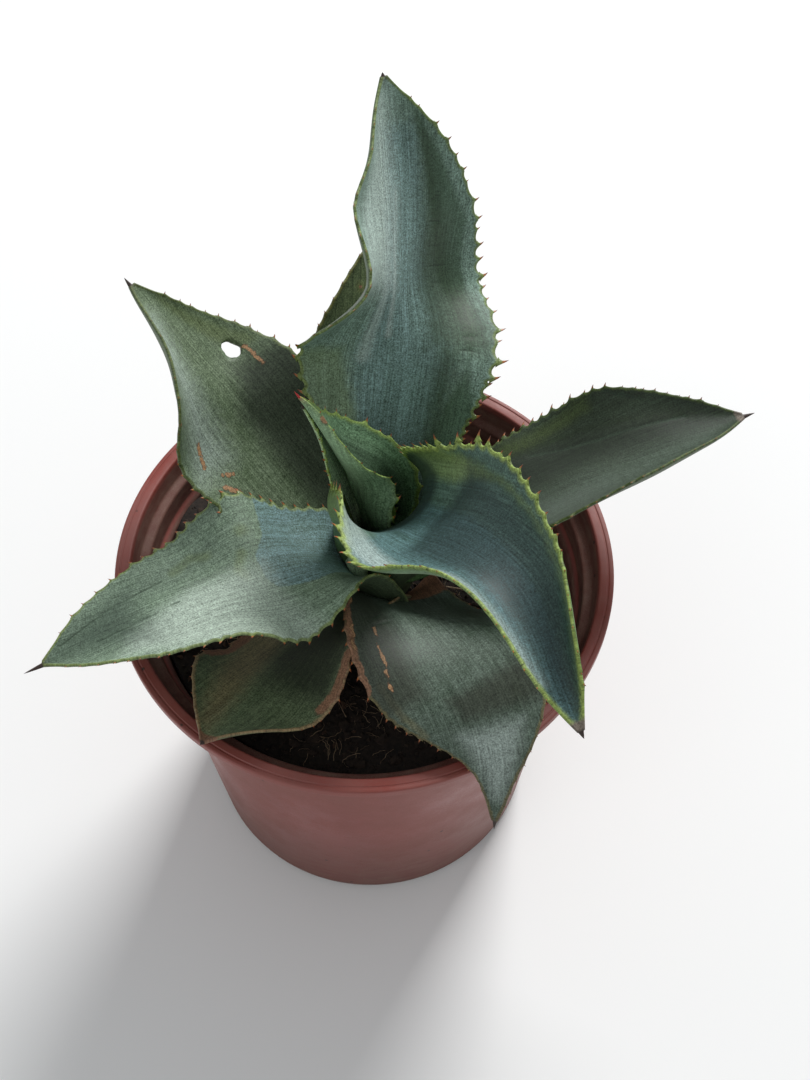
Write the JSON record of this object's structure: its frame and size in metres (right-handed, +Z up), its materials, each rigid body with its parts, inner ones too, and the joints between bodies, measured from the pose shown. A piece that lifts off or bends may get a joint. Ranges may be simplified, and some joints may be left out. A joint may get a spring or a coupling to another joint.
{
  "type": "potted agave",
  "caption": "Young broad-leaved agave with toothed, arching leaves in a round tapered plastic nursery pot filled with soil.",
  "frame": {"origin": "middle of the pot's underside, on the surface that the pot stands on", "axes": "+Z up along the pot's axis, -Y towards the side that the plant was seen from, +X to that viewer's right"},
  "size_m": [0.333, 0.3031, 0.3738],
  "materials": {
    "pot_plastic": "satin brick-red moulded plastic, dusty outside, with mineral stains inside the rim",
    "soil": "dark damp peat mix with straw fibres and chips",
    "stem": "matt green-brown plant stem",
    "young_leaf": "fresh green waxy leaf with lime margins",
    "leaf": "blue-green waxy leaf with a grey bloom and brown-tipped teeth"
  },
  "bodies": {
    "root": {"pot": "pot_plastic", "soil": "soil", "stem": "stem", "leaf_spear": "young_leaf", "leaf_bud": "young_leaf", "leaf_bud_outer": "young_leaf", "leaf_front_right": "leaf", "leaf_back": "leaf", "leaf_right": "leaf", "leaf_left": "leaf", "leaf_back_left": "leaf", "leaf_front": "leaf", "leaf_front_left": "leaf", "leaf_back_low": "leaf"}
  },
  "joints": []
}
